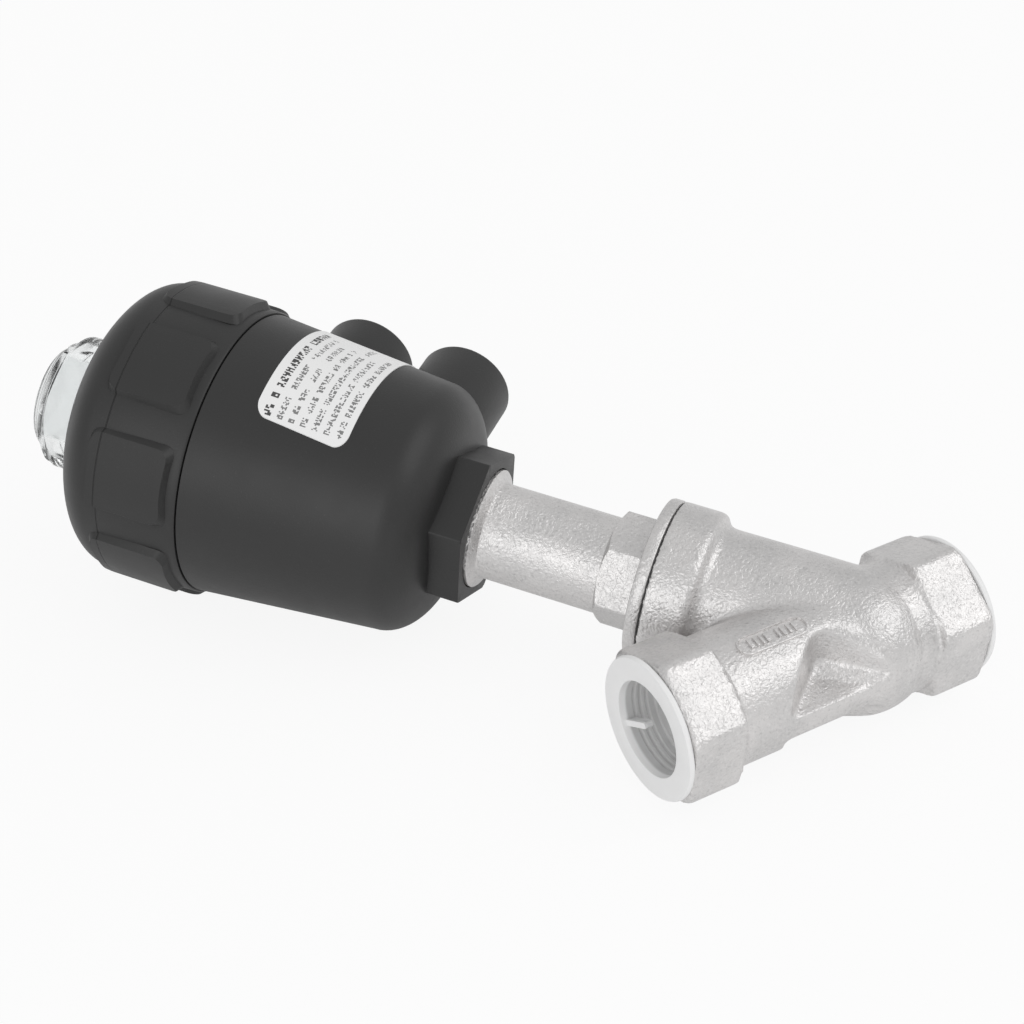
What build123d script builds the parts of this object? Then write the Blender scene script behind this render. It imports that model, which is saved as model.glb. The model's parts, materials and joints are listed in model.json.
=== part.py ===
"""Pneumatic angle seat valve, DN20, with G3/4 ports and a spring-return piston actuator.

Two working frames are used, in millimetres:
  pipe frame   X along the pipe (inlet port faces -X), Z in the plane of the stem
  stem frame   Z up the stem from where it crosses the pipe axis, X towards the outlet side
The finished assembly is laid on its side, resting on the body's hexagons and the cover's
grip pads, with +Z up and the origin under the middle of its bounding box.
"""

import math
import os

from build123d import *

# ---------------------------------------------------------------- driving dimensions
STEM_ANGLE = 52.0  # between the stem and the pipe axis, degrees
INLET_X = -55.0  # inlet port face along the pipe
OUTLET_X = 25.0  # outlet port face, 80 mm from the inlet face
HEX_ACROSS_FLATS = 32.0
HEX_LENGTH = 13.6
TUBE_R = 15.2  # casting outside radius round the pipe passage
NECK_R = 16.7  # casting outside radius round the stem
PASSAGE_R = 9.6
CHAMBER_R = 13.2
SEAT_S = 2.5  # seat face, measured up the stem
SEAT_WALL = 4.0
ORIFICE_R = 8.6
WEB_THICK = 7.0  # web between the two side pockets

THREAD_MAJOR_R = 13.22  # G3/4 pipe thread
MOUTH_R = 13.6  # plain mouth in front of the thread
MOUTH_DEPTH = 6.7
THREAD_DEPTH = 15.0  # end of the thread behind the port face

COLLAR_R = 19.3
COLLAR_LOW, COLLAR_TOP = 36.6, 45.8
BONNET_BORE_R = 14.6
GASKET_THICK = 0.7
FLANGE_TOP = 50.4
BONNET_HEX_TOP = 60.0
BONNET_ACROSS_FLATS = 24.0
STEM_TUBE_R = 11.5
STEM_TUBE_BORE_R = 9.2
STEM_R = 5.0
STROKE = 10.0

HUB_END = 86.8  # actuator hexagon's end face
HOUSING_LOW = 97.0
HOUSING_SHOULDER = 108.0  # top of the rounding between the housing's floor and wall
SEAM = 153.0  # joint between housing and cover
SEAM_GAP = 0.35
HOUSING_R_LOW, HOUSING_R_SEAM = 30.5, 34.6
CYLINDER_R = 27.5  # bore the piston runs in
AIR_PORT_S = (114.4, 140.7)
AIR_BOSS_R = 12.0
AIR_BOSS_REACH = 47.2
AIR_THREAD_R = 6.58  # G1/4
COVER_R = 35.2
DOME_BASE, DOME_TOP = 178.0, 198.0
DOME_R = 35.8
CAP_SEAT = 196.4
PAD_R = 37.0
PAD_COUNT = 8
PAD_LOW, PAD_HIGH = 156.2, 175.0
PAD_WIDTH = 17.4

RUNNING = 0.05  # radial clearance of running fits
GAP = 0.3  # clearance between pieces of different bodies
COG_DRAFT = 25.0  # slope of the grip pads' sides, degrees

S_AXIS = (-math.cos(math.radians(STEM_ANGLE)), 0.0, math.sin(math.radians(STEM_ANGLE)))
U_AXIS = (math.sin(math.radians(STEM_ANGLE)), 0.0, math.cos(math.radians(STEM_ANGLE)))
STEM_FRAME = Plane(origin=(0, 0, 0), x_dir=U_AXIS, z_dir=S_AXIS).location
PIPE_TURN = Rotation(0, 90, 0)  # turns a Z-axis solid onto the pipe axis


# ---------------------------------------------------------------- shape helpers
def disc(radius, low, high):
    """Round bar along Z between two heights."""
    return Pos(0, 0, low) * Cylinder(radius, high - low, align=(Align.CENTER, Align.CENTER, Align.MIN))


def ring(outer, inner, low, high):
    """Plain ring along Z between two heights."""
    return disc(outer, low, high) - disc(inner, low - 1, high + 1)


def turned(points):
    """Solid of revolution about Z from (radius, height) corners."""
    corners = [(radius, 0, height) for radius, height in points]
    return revolve(make_face(Polyline(*corners, close=True)), Axis.Z)


def hex_bar(across_flats, low, high, low_r, high_r, edge_round=0.6):
    """Hexagonal bar along Z, its ends turned down to low_r and high_r by 30 degree chamfers."""
    bar = extrude(RegularPolygon(across_flats / 2, 6, major_radius=False), high - low)
    bar = fillet(bar.edges().filter_by(Axis.Z), edge_round)
    corner_r = across_flats / 2 / math.cos(math.pi / 6) + 1
    low_fall = (corner_r - low_r) * math.tan(math.radians(30))
    high_fall = (corner_r - high_r) * math.tan(math.radians(30))
    envelope = turned(
        [(0, low), (low_r, low), (corner_r, low + low_fall), (corner_r, high - high_fall), (high_r, high), (0, high)]
    )
    return Pos(0, 0, low) * bar & envelope


def o_ring(radius, wire_r, height):
    """Torus of a given centre-line radius at a height."""
    return Pos(0, 0, height) * Torus(radius, wire_r)


def coil_spring(mean_r, wire_r, low, high, turns):
    """Open coil spring along Z whose wire lies between two heights."""
    pitch = (high - low - 2 * wire_r) / turns
    path = Pos(0, 0, low + wire_r) * Helix(pitch, pitch * turns, mean_r)
    section = Plane(origin=path @ 0, z_dir=path % 0) * Circle(wire_r)
    return sweep(section, path=path, is_frenet=True)


# ---------------------------------------------------------------- valve body
def outer_casting():
    """Outside of the cast body, before its passages are cut, in the pipe frame."""
    near_tube = PIPE_TURN * disc(TUBE_R, INLET_X + 8, 0)
    far_tube = PIPE_TURN * turned([(0, 0), (TUBE_R, 0), (TUBE_R + 0.5, OUTLET_X - 8), (0, OUTLET_X - 8)])
    seat_boss = STEM_FRAME * disc(NECK_R, -14, 8) & PIPE_TURN * disc(TUBE_R + 0.7, -30, 20)
    neck_end = COLLAR_LOW - 2.2
    neck = turned(
        [
            (0, 0),
            (NECK_R, 0),
            (NECK_R - 0.2, neck_end),
            (COLLAR_R, COLLAR_LOW),
            (COLLAR_R, COLLAR_TOP),
            (0, COLLAR_TOP),
        ]
    )
    return near_tube + far_tube + seat_boss + STEM_FRAME * neck


def side_pocket():
    """Triangular recess that keeps the wall even under the inlet passage, on both sides."""
    with BuildSketch(Plane.XZ) as outline:
        with BuildLine():
            Polyline((-24.6, -6.0), (-34.0, -17.0), (-5.0, -17.0), (-13.4, -6.0), close=True)
        make_face()
        fillet(outline.vertices(), 1.6)
    window = extrude(outline.sketch, 30, both=True)
    web = Box(100, WEB_THICK, 100)
    core = PIPE_TURN * disc(TUBE_R - 3.0, -60, 30)
    boss = STEM_FRAME * disc(NECK_R - 1.2, -40, 20)
    return window - core - boss - web


def flow_passages():
    """Everything bored inside the body: two ports, two passages, the seat and the chamber."""
    above_seat = STEM_FRAME * Pos(0, 0, SEAT_S) * Box(
        200, 200, 100, align=(Align.CENTER, Align.CENTER, Align.MIN)
    )
    below_seat = STEM_FRAME * Pos(0, 0, SEAT_S - SEAT_WALL) * Box(
        200, 200, 100, align=(Align.CENTER, Align.CENTER, Align.MAX)
    )
    inlet = PIPE_TURN * disc(PASSAGE_R, INLET_X - 1, 6) & above_seat
    outlet = PIPE_TURN * disc(PASSAGE_R, -14, OUTLET_X + 1) & below_seat
    bores = inlet + outlet
    for face_x, inward in ((INLET_X, 1), (OUTLET_X, -1)):
        ends = sorted((face_x - inward, face_x + inward * MOUTH_DEPTH))
        bores += PIPE_TURN * disc(MOUTH_R, *ends)
        ends = sorted((face_x, face_x + inward * THREAD_DEPTH))
        bores += PIPE_TURN * disc(THREAD_MAJOR_R, *ends)
    stem_bores = turned(
        [
            (0, SEAT_S - SEAT_WALL - 2),
            (ORIFICE_R, SEAT_S - SEAT_WALL - 2),
            (ORIFICE_R, SEAT_S),
            (CHAMBER_R, SEAT_S),
            (CHAMBER_R, 30),
            (BONNET_BORE_R, 30),
            (BONNET_BORE_R, COLLAR_TOP + 1),
            (0, COLLAR_TOP + 1),
        ]
    )
    return bores + STEM_FRAME * stem_bores


def valve_body():
    """One-piece stainless casting with a hexagon round each port."""
    body = outer_casting() - side_pocket()
    corner_r = HEX_ACROSS_FLATS / 2 + 0.9
    for low, high in ((INLET_X, INLET_X + HEX_LENGTH), (OUTLET_X - HEX_LENGTH, OUTLET_X)):
        hexagon = hex_bar(HEX_ACROSS_FLATS, low, high, corner_r, corner_r)
        body += PIPE_TURN * hexagon
    return body - flow_passages()


# ---------------------------------------------------------------- bonnet and packing
def bonnet():
    """Screwed-in bonnet: spigot inside the collar, clamping flange and spanner hexagon."""
    flange_low = COLLAR_TOP + GASKET_THICK
    outside = turned(
        [
            (0, 31),
            (BONNET_BORE_R - 0.8, 31),
            (BONNET_BORE_R - RUNNING, 31.8),
            (BONNET_BORE_R - RUNNING, flange_low),
            (COLLAR_R - 0.1, flange_low),
            (COLLAR_R, flange_low + 2.4),
            (COLLAR_R - 1.6, FLANGE_TOP),
            (0, FLANGE_TOP),
        ]
    )
    top_r = STEM_TUBE_R + 0.3
    outside += hex_bar(BONNET_ACROSS_FLATS, FLANGE_TOP - 1, BONNET_HEX_TOP, 14, top_r)
    inside = turned(
        [
            (0, 30),
            (10.5, 30),
            (10.5, 38),
            (STEM_R + 0.6, 41),
            (STEM_R + 0.6, 48),
            (STEM_TUBE_BORE_R, 48),
            (STEM_TUBE_BORE_R, 54),
            (STEM_TUBE_R, 54),
            (STEM_TUBE_R, BONNET_HEX_TOP + 1),
            (0, BONNET_HEX_TOP + 1),
        ]
    )
    return outside - inside


def bonnet_gasket():
    return ring(COLLAR_R - 0.5, BONNET_BORE_R, COLLAR_TOP, COLLAR_TOP + GASKET_THICK)


def stem_tube():
    """Distance tube from the bonnet to the actuator, with the rim the actuator turns on."""
    rim_low, rim_high = HUB_END + 1.2, HUB_END + 4.2
    return turned(
        [
            (STEM_TUBE_BORE_R, 54),
            (STEM_TUBE_R, 54),
            (STEM_TUBE_R, rim_low - 0.8),
            (STEM_TUBE_R + 0.8, rim_low),
            (STEM_TUBE_R + 2.4, rim_low),
            (STEM_TUBE_R + 2.4, rim_high),
            (STEM_TUBE_R, rim_high),
            (STEM_TUBE_R, 106),
            (STEM_TUBE_R - 1.2, 106),
            (STEM_TUBE_R - 1.2, 107.6),
            (STEM_TUBE_R, 107.6),
            (STEM_TUBE_R, 109),
            (STEM_TUBE_BORE_R, 109),
        ]
    )


def packing_rings():
    """Stack of chevron packing rings, pressed together by the spring below."""
    stack = Part()
    for index in range(4):
        low = 65.0 + index * 3.0
        stack += turned(
            [
                (STEM_R + RUNNING, low),
                (7.1, low + 1.2),
                (STEM_TUBE_BORE_R, low),
                (STEM_TUBE_BORE_R, low + 1.7),
                (7.1, low + 2.9),
                (STEM_R + RUNNING, low + 1.7),
            ]
        )
    return stack


def packing_gland():
    """Bush that closes the packing and guides the stem."""
    return turned(
        [
            (STEM_R + RUNNING, 79.2),
            (7.1, 78.0),
            (STEM_TUBE_BORE_R, 79.2),
            (STEM_TUBE_BORE_R, 101),
            (8.0, 101),
            (7.6, 102),
            (STEM_R + RUNNING, 102),
        ]
    )


def snap_ring(outer, inner, low, high, opening):
    """Retaining ring with a gap."""
    gap_block = Pos(outer, 0, (low + high) / 2) * Box(2 * outer, opening, 2 * (high - low))
    return ring(outer, inner, low, high) - gap_block


# ---------------------------------------------------------------- stem group
def valve_stem():
    """Stainless stem: plug thread, shank, piston seat and thread, and the indicator socket."""
    return turned(
        [
            (0, -6),
            (3.4, -6),
            (4.0, -5.4),
            (4.0, 8),
            (STEM_R, 8),
            (STEM_R, 117),
            (4.0, 117),
            (4.0, 139.4),
            (3.4, 140),
            (0, 140),
        ]
    )


def valve_plug():
    """Plug holder with a skirt that carries the seat seal."""
    return turned(
        [
            (4.05, SEAT_S + 3.2),
            (10.2, SEAT_S + 3.2),
            (10.2, SEAT_S + 0.9),
            (11.9, SEAT_S + 0.9),
            (12.4, SEAT_S + 1.4),
            (12.4, SEAT_S + 6.5),
            (9.0, SEAT_S + 11.0),
            (8.0, SEAT_S + 13.0),
            (STEM_R + 0.02, SEAT_S + 13.0),
            (STEM_R + 0.02, 8),
            (4.05, 8),
        ]
    )


def plug_nut():
    nut = hex_bar(10, -4.6, -0.6, 5.2, 5.2, edge_round=0.3)
    return nut - disc(4.05, -6, 1)


def piston():
    """Moulded piston with a deep groove for the lip seal and ribs under the crown."""
    body = turned(
        [
            (4.05, 117),
            (9.0, 117),
            (9.0, 114.6),
            (12.5, 114.6),
            (14.0, 119.5),
            (26.0, 119.5),
            (27.1, 120.2),
            (27.1, 121.0),
            (24.4, 121.0),
            (24.4, 124.6),
            (27.1, 124.6),
            (27.1, 125.4),
            (25.6, 125.4),
            (25.6, 127.4),
            (27.1, 127.4),
            (27.1, 128.4),
            (26.4, 129.0),
            (23.6, 129.0),
            (23.6, 124.8),
            (9.0, 124.8),
            (9.0, 123.4),
            (4.05, 123.4),
        ]
    )
    for index in range(6):
        rib = Pos(17.5, 0, 118.0) * Box(11, 1.8, 3.4)
        body += Rotation(0, 0, 60 * index) * rib & ring(26, 12, 115, 121)
    return body


def piston_lip_seal():
    return turned(
        [
            (24.45, 121.1),
            (26.4, 121.1),
            (CYLINDER_R - RUNNING, 121.9),
            (CYLINDER_R - RUNNING, 123.6),
            (26.4, 124.5),
            (24.45, 124.5),
        ]
    )


def stem_nut():
    nut = hex_bar(13, 125.0, 131.0, 6.8, 6.8, edge_round=0.3)
    return nut - disc(4.05, 124, 132)


def indicator_spindle():
    """Rod that carries the stem's travel up into the clear cap."""
    return turned(
        [
            (0, 140.05),
            (0, 194.2),
            (4.6, 194.2),
            (5.4, 193.4),
            (5.4, 188.0),
            (4.0, 187.0),
            (4.0, 150),
            (6.2, 148),
            (6.2, 131.6),
            (4.06, 131.6),
            (4.06, 140.05),
        ]
    )


# ---------------------------------------------------------------- actuator
def housing_wall_r(height):
    """Outside radius of the tapered housing at a height."""
    share = (height - HOUSING_SHOULDER) / (SEAM - SEAM_GAP - HOUSING_SHOULDER)
    return HOUSING_R_LOW + share * (HOUSING_R_SEAM - HOUSING_R_LOW)


def actuator_housing():
    """Moulded cylinder housing: tapered wall, rounded floor, hexagonal hub, two air bosses."""
    with BuildSketch(Plane.XZ) as section:
        with BuildLine():
            floor = Line((0, HOUSING_LOW), (15, HOUSING_LOW))
            bend = EllipticalCenterArc(
                (15, HOUSING_SHOULDER), HOUSING_R_LOW - 15, HOUSING_SHOULDER - HOUSING_LOW, start_angle=-90, arc_size=90
            )
            Polyline(bend @ 1, (HOUSING_R_SEAM, SEAM - SEAM_GAP), (31.4, SEAM - SEAM_GAP), (31.4, SEAM + 6.5))
            Line((31.4, SEAM + 6.5), (0, SEAM + 6.5))
            Line((0, SEAM + 6.5), floor @ 0)
        make_face()
    shell = revolve(section.sketch, Axis.Z)
    shell += hex_bar(33.6, HUB_END, HOUSING_LOW + 3, 17.2, 20.4)
    for height in AIR_PORT_S:
        boss = Rotation(0, 90, 0) * disc(AIR_BOSS_R, 24, AIR_BOSS_REACH)
        boss = chamfer(boss.edges().sort_by(Axis.X)[-1], 0.8)
        shell += Pos(0, 0, height) * boss
    inside = turned(
        [
            (0, 110.4),
            (15.5, 110.4),
            (16.5, 104),
            (24.5, 104),
            (CYLINDER_R, 107),
            (CYLINDER_R, SEAM + 4),
            (28.2, SEAM + 7.5),
            (0, SEAM + 7.5),
        ]
    )
    hub_bore = turned(
        [
            (0, HUB_END - 1),
            (14.6, HUB_END - 1),
            (14.6, HUB_END + 4.2 + GAP),
            (STEM_TUBE_R + RUNNING, HUB_END + 4.2 + GAP),
            (STEM_TUBE_R + RUNNING, 104.6),
            (13.6, 104.6),
            (13.6, 111),
            (0, 111),
        ]
    )
    hub_bore += ring(13.4, STEM_TUBE_R, 97.0, 100.2)
    shell -= inside + hub_bore
    shell -= Pos(0, 0, SEAM + 3.2) * ring(33, 29.8, -1.1, 1.1)
    for height in AIR_PORT_S:
        thread = disc(AIR_THREAD_R, AIR_BOSS_REACH - 11, AIR_BOSS_REACH + 1)
        bore = thread + disc(3.0, 20, AIR_BOSS_REACH - 10)
        shell -= Pos(0, 0, height) * Rotation(0, 90, 0) * bore
    return shell


def grip_pad(angle):
    """One raised pad with rounded corners and sloped sides, before it is turned to its radius."""
    length = PAD_HIGH - PAD_LOW
    base_r = COVER_R - 1.2
    spread = (PAD_R - base_r) * math.tan(math.radians(COG_DRAFT))
    side = Plane(origin=(base_r, 0, (PAD_LOW + PAD_HIGH) / 2), x_dir=(0, 1, 0), z_dir=(1, 0, 0))
    outline = side * RectangleRounded(PAD_WIDTH + 2 * spread, length + 2 * spread, 3.0)
    block = extrude(outline, 4.5, taper=COG_DRAFT)
    return Rotation(0, 0, angle) * block


def actuator_cover():
    """Domed cover with eight grip pads, a parting groove and the seat for the clear cap."""
    with BuildSketch(Plane.XZ) as section:
        with BuildLine():
            Polyline((31.65, SEAM), (COVER_R - 0.3, SEAM), (COVER_R, SEAM + 0.5), (DOME_R, DOME_BASE))
            dome = EllipticalCenterArc((0, DOME_BASE), DOME_R, DOME_TOP - DOME_BASE, start_angle=0, arc_size=62)
            Polyline(dome @ 1, (16.8, CAP_SEAT), (13.2, CAP_SEAT), (13.2, 202.0), (10.6, 202.0), (10.6, 192.6))
            Polyline((10.6, 192.6), (6.0, 192.6), (6.0, 189.4), (10.5, 189.4), (11.6, 192.4))
            inner = EllipticalCenterArc((0, 177), 31.6, 17.2, start_angle=0, arc_size=68)
            Line((11.6, 192.4), inner @ 1)
            Line(inner @ 0, (31.65, SEAM))
        make_face()
    cover = revolve(section.sketch, Axis.Z)
    pads = Part()
    for index in range(PAD_COUNT):
        pads += grip_pad((index + 0.5) * 360 / PAD_COUNT)
    cover -= Pos(0, 0, CAP_SEAT) * ring(14, 12.1, 0.8, 2.2)
    cover += pads & disc(PAD_R, PAD_LOW - 2, PAD_HIGH + 2) - disc(COVER_R - 1.0, PAD_LOW - 3, PAD_HIGH + 3)
    return cover


def indicator_cap():
    """Clear screw-on cap: round skirt and a low head with six finger facets."""
    skirt = disc(16.5, CAP_SEAT + 0.1, 203.4)
    head = turned([(0, 203.4), (15.9, 203.4), (15.6, 207.4), (13.6, 209.6), (0, 209.6)])
    facets = extrude(RegularPolygon(14.3, 6, major_radius=False), 6.2)
    facets = fillet(facets.edges().filter_by(Axis.Z), 3.0)
    cavity = turned(
        [
            (0, CAP_SEAT - 1),
            (13.3, CAP_SEAT - 1),
            (13.3, 202.2),
            (11.0, 202.6),
            (10.4, 207.2),
            (0, 207.2),
        ]
    )
    return skirt + (head & Pos(0, 0, 203.4) * facets) - cavity


def rating_label():
    """Thin rectangular label with rounded corners, wrapped round the housing."""
    low, high = 118.4, 141.0
    middle_angle, width = -78.0, 49.0
    middle_r = housing_wall_r((low + high) / 2)
    side = Plane(origin=(0, 0, (low + high) / 2), x_dir=(0, 1, 0), z_dir=(1, 0, 0))
    chord = 2 * middle_r * math.sin(width / middle_r / 2)
    window = Rotation(0, 0, middle_angle) * extrude(side * RectangleRounded(chord, high - low, 3.0), 50)
    skin_low = [(housing_wall_r(low - 1) + lift, low - 1) for lift in (0.02, 0.22)]
    skin_high = [(housing_wall_r(high + 1) + lift, high + 1) for lift in (0.22, 0.02)]
    return turned(skin_low + skin_high) & window


# ---------------------------------------------------------------- port protectors
def thread_protector():
    """Pressed-in plastic cap, in the inlet port's place: flange, ribbed cup and pull tab."""
    face = 0.05
    cup = turned(
        [
            (0, 5.4),
            (0, 6.2),
            (11.2, 6.2),
            (11.9, 5.6),
            (11.9, -face),
            (16.4, -face),
            (16.7, -0.5),
            (16.4, -1.3),
            (11.2, -1.3),
            (10.9, -1.0),
            (10.7, 5.4),
        ]
    )
    for height in (1.4, 3.0, 4.6):
        cup += turned([(11.5, height - 0.6), (12.4, height - 0.6), (13.15, height), (12.4, height + 0.6), (11.5, height + 0.6)])
    tab = Pos(-6.6, 0, 3.9) * Box(8.4, 1.1, 3.4)
    return cup + tab


# ---------------------------------------------------------------- placement
def resting_tilt():
    """Angle by which the stem rises when the valve lies on a hexagon edge and two grip pads."""
    reach = PAD_R * math.cos(math.radians(9))
    lift = PAD_LOW * math.sin(math.radians(STEM_ANGLE))
    hex_corner = HEX_ACROSS_FLATS / 2 / math.cos(math.pi / 6)
    return math.asin(reach / math.hypot(lift, hex_corner)) - math.atan2(hex_corner, lift)


def build_pieces():
    """Every piece by node name, in the pipe frame."""
    tube_nut_low = 104.9
    stem_pieces = {
        "bonnet": bonnet(),
        "bonnet_gasket": bonnet_gasket(),
        "stem_tube": stem_tube(),
        "packing_spring": coil_spring(7.1, 0.9, 48.1, 63.4, 4.5),
        "packing_washer": ring(STEM_TUBE_BORE_R - 0.1, STEM_R + 0.3, 63.5, 65.0) + Part(),
        "packing_rings": packing_rings(),
        "packing_gland": packing_gland(),
        "gland_snap_ring": snap_ring(STEM_TUBE_BORE_R, 7.9, 102.1, 103.3, 5),
        "tube_snap_ring": snap_ring(13.3, STEM_TUBE_R - 1.15, 106.1, 107.5, 6),
        "tube_thrust_washer": ring(13.5, STEM_TUBE_R + 0.1, tube_nut_low, 106.0),
        "valve_stem": valve_stem(),
        "valve_plug": valve_plug(),
        "seat_seal": ring(10.15, 4.05, SEAT_S + 0.05, SEAT_S + 3.15),
        "plug_washer": ring(7.4, 4.05, -0.5, SEAT_S),
        "plug_nut": plug_nut(),
        "piston": piston(),
        "piston_lip_seal": piston_lip_seal(),
        "piston_guide_ring": ring(CYLINDER_R - RUNNING, 25.65, 125.5, 127.3),
        "piston_washer": ring(8.6, 4.05, 123.45, 124.95),
        "stem_nut": stem_nut(),
        "indicator_spindle": indicator_spindle(),
        "actuator_housing": actuator_housing(),
        "actuator_cover": actuator_cover(),
        "cover_o_ring": o_ring(30.7, 0.85, SEAM + 3.2),
        "hub_o_ring": o_ring(12.5, 0.9, 98.6),
        "indicator_cap": indicator_cap(),
        "cap_o_ring": o_ring(12.72, 0.55, CAP_SEAT + 1.5),
        "return_spring_outer": coil_spring(19.5, 1.7, 125.0, 188.0, 5.5),
        "return_spring_inner": coil_spring(12.2, 1.2, 125.0, 188.6, 7.5),
        "rating_label": rating_label(),
    }
    pieces = {"valve_body": valve_body()}
    for name, shape in stem_pieces.items():
        pieces[name] = STEM_FRAME * shape
    protector = thread_protector()
    pieces["inlet_protector"] = Pos(INLET_X, 0, 0) * PIPE_TURN * protector
    pieces["outlet_protector"] = Pos(OUTLET_X, 0, 0) * Rotation(0, -90, 0) * protector
    return pieces


def resting_place(pieces):
    """Location that lays the valve on its side and centres it over the origin."""
    lay_down = Rotation(math.degrees(resting_tilt()) - 90, 0, 0)
    box = Compound(children=[lay_down * shape for shape in pieces.values()]).bounding_box()
    middle = box.center()
    return Pos(-middle.X, -middle.Y, -box.min.Z) * lay_down


def main():
    os.makedirs("parts", exist_ok=True)
    pieces = build_pieces()
    place = resting_place(pieces)
    for name, shape in pieces.items():
        export_step(place * shape, f"parts/{name}.step")


if __name__ == "__main__":
    main()
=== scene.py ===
import json
import math

import bmesh
import bpy
from mathutils import Euler, Matrix, Vector


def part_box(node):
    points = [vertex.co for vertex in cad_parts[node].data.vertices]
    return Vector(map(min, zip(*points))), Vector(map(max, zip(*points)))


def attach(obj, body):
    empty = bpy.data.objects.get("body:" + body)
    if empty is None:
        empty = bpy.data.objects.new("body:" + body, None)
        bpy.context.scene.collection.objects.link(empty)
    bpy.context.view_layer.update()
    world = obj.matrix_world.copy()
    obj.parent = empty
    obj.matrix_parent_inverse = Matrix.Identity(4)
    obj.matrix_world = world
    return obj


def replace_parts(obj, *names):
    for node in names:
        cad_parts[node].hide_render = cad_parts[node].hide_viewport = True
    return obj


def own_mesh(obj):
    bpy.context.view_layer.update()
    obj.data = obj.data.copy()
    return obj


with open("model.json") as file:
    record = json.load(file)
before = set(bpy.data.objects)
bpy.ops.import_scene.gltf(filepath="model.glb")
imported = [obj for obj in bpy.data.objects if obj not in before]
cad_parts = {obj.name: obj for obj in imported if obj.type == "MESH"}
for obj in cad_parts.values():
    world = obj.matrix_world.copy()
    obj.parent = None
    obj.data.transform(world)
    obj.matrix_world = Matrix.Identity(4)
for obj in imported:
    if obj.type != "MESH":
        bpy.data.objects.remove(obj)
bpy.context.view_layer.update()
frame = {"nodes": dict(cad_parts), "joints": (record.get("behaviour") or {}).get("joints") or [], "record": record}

# ---------------------------------------------------------------- frames of the valve
MM = 0.001
record = frame["record"]
ports = {mount["name"]: mount for mount in record["mounts"]}
turning = next(joint for joint in frame["joints"] if joint["name"] == "actuator_turn")
UP_STEM = Vector(turning["axis"]).normalized()
OUTWARD = Vector(ports["air_port_open"]["axis"]).normalized()
ALONG_PIPE = Vector(ports["outlet_port"]["axis"]).normalized()
CROSSING = Vector(turning["pos_m"])
STEM_SIDE = UP_STEM.cross(OUTWARD)


def axes_at(origin, x_axis, y_axis, z_axis):
    """Matrix that takes a point given along these axes from origin into the model."""
    turn = Matrix((x_axis, y_axis, z_axis)).transposed().to_4x4()
    return Matrix.Translation(origin) @ turn


# Z up the stem, X towards the outlet side
STEM = axes_at(CROSSING, OUTWARD, STEM_SIDE, UP_STEM)
# Z from the inlet port to the outlet port, X in the plane of the stem
PIPE = axes_at(CROSSING, STEM_SIDE.cross(ALONG_PIPE), STEM_SIDE, ALONG_PIPE)


# ---------------------------------------------------------------- shader writing
class Signal:
    """A shader socket's output. Arithmetic on it adds Math nodes."""

    def __init__(self, finish, socket):
        self.finish = finish
        self.socket = socket

    def maths(self, operation, *values, clamp=False):
        settings = {"operation": operation, "use_clamp": clamp}
        return self.finish.node("Math", settings, dict(enumerate(values)))["Value"]

    def __add__(self, other):
        return self.maths("ADD", self, other)

    __radd__ = __add__

    def __mul__(self, other):
        return self.maths("MULTIPLY", self, other)

    __rmul__ = __mul__

    def __sub__(self, other):
        return self.maths("SUBTRACT", self, other)

    def __rsub__(self, other):
        return self.maths("SUBTRACT", other, self)

    def __truediv__(self, other):
        return self.maths("DIVIDE", self, other)

    def __gt__(self, other):
        return self.maths("GREATER_THAN", self, other)

    def __lt__(self, other):
        return self.maths("LESS_THAN", self, other)

    def __abs__(self):
        return self.maths("ABSOLUTE", self)

    def floor(self):
        return self.maths("FLOOR", self)

    def fraction(self):
        return self.maths("FRACT", self)

    def at_least(self, other):
        return self.maths("MAXIMUM", self, other)

    def ramp(self, low, high):
        """0 below low, 1 above high, and a smooth rise between."""
        settings = {"interpolation_type": "SMOOTHSTEP", "clamp": True}
        inputs = {"Value": self, "From Min": low, "From Max": high}
        return self.finish.node("MapRange", settings, inputs)["Result"]


class Outputs:
    """The outputs of one node, by name or number."""

    def __init__(self, finish, node):
        self.finish = finish
        self.node = node

    def __getitem__(self, name):
        return Signal(self.finish, self.node.outputs[name])


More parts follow.
